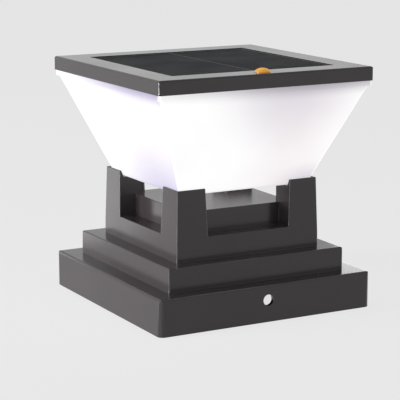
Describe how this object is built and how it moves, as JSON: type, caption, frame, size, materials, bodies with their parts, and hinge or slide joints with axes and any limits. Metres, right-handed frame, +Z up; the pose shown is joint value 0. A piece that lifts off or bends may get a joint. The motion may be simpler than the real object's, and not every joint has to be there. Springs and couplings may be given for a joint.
{
  "type": "solar post cap light",
  "caption": "Solar deck post cap light: stepped hollow base for a square post, frosted inverted-pyramid diffuser between corner pillars, flat lid with solar panel and push button.",
  "frame": {"origin": "middle of the base's underside, on the plane of the foot", "axes": "+Z up along the post's axis, -Y towards the front face with the push button and a fixing hole, +X to the right seen from the front"},
  "size_m": [0.106, 0.106, 0.11],
  "materials": {
    "base_plastic": "satin charcoal moulding",
    "lid_plastic": "satin charcoal moulding",
    "frosted_plastic": "frosted, lit from inside",
    "seal_rubber": "matt",
    "foam_tape": "matt foam",
    "green_board": "solder mask",
    "white_board": "white solder mask",
    "solar_cell": "dark silicon",
    "clear_resin": "clear, slightly satin",
    "tinned_strip": "tinned",
    "amber_plastic": "smooth translucent amber",
    "white_plastic": "satin",
    "black_plastic": "satin",
    "lamp_emitter": "lamp resin",
    "battery_sleeve": "shrink sleeve",
    "ferrite": "ferrite",
    "can_aluminium": "drawn can",
    "screw_steel": "zinc plated",
    "lead_sleeve": "sleeve"
  },
  "bodies": {
    "housing": {"base_shell": "base_plastic", "diffuser": "frosted_plastic", "lid_frame": "lid_plastic", "lid_seal": "seal_rubber", "panel_tape": "foam_tape", "panel_backing": "green_board", "cell_left": "solar_cell", "cell_right": "solar_cell", "cell_ribbons": "tinned_strip", "panel_cover": "clear_resin", "switch_body": "black_plastic", "switch_board": "green_board", "lamp_tray": "white_plastic", "lamp_board": "white_board", "lamps": "lamp_emitter", "lamp_board_screws": "screw_steel", "battery_holder": "black_plastic", "battery_cell": "battery_sleeve", "contact_spring": "tinned_strip", "contact_plate": "tinned_strip", "control_board": "green_board", "controller_chip": "black_plastic", "inductor": "ferrite", "capacitor": "can_aluminium", "lead_sockets": "white_plastic", "board_screws": "screw_steel", "tray_screws": "screw_steel", "head_screws": "screw_steel", "solar_leads": "lead_sleeve", "battery_leads": "lead_sleeve", "lamp_leads": "lead_sleeve", "switch_leads": "lead_sleeve"},
    "button": {"power_button": "amber_plastic", "switch_plunger": "white_plastic"}
  },
  "joints": [
    {"name": "button_press", "type": "slide", "parent": "housing", "child": "button", "axis": [0, 0, -1], "range_m": [0, 0.0005], "stiffness_N_per_m": 400}
  ]
}
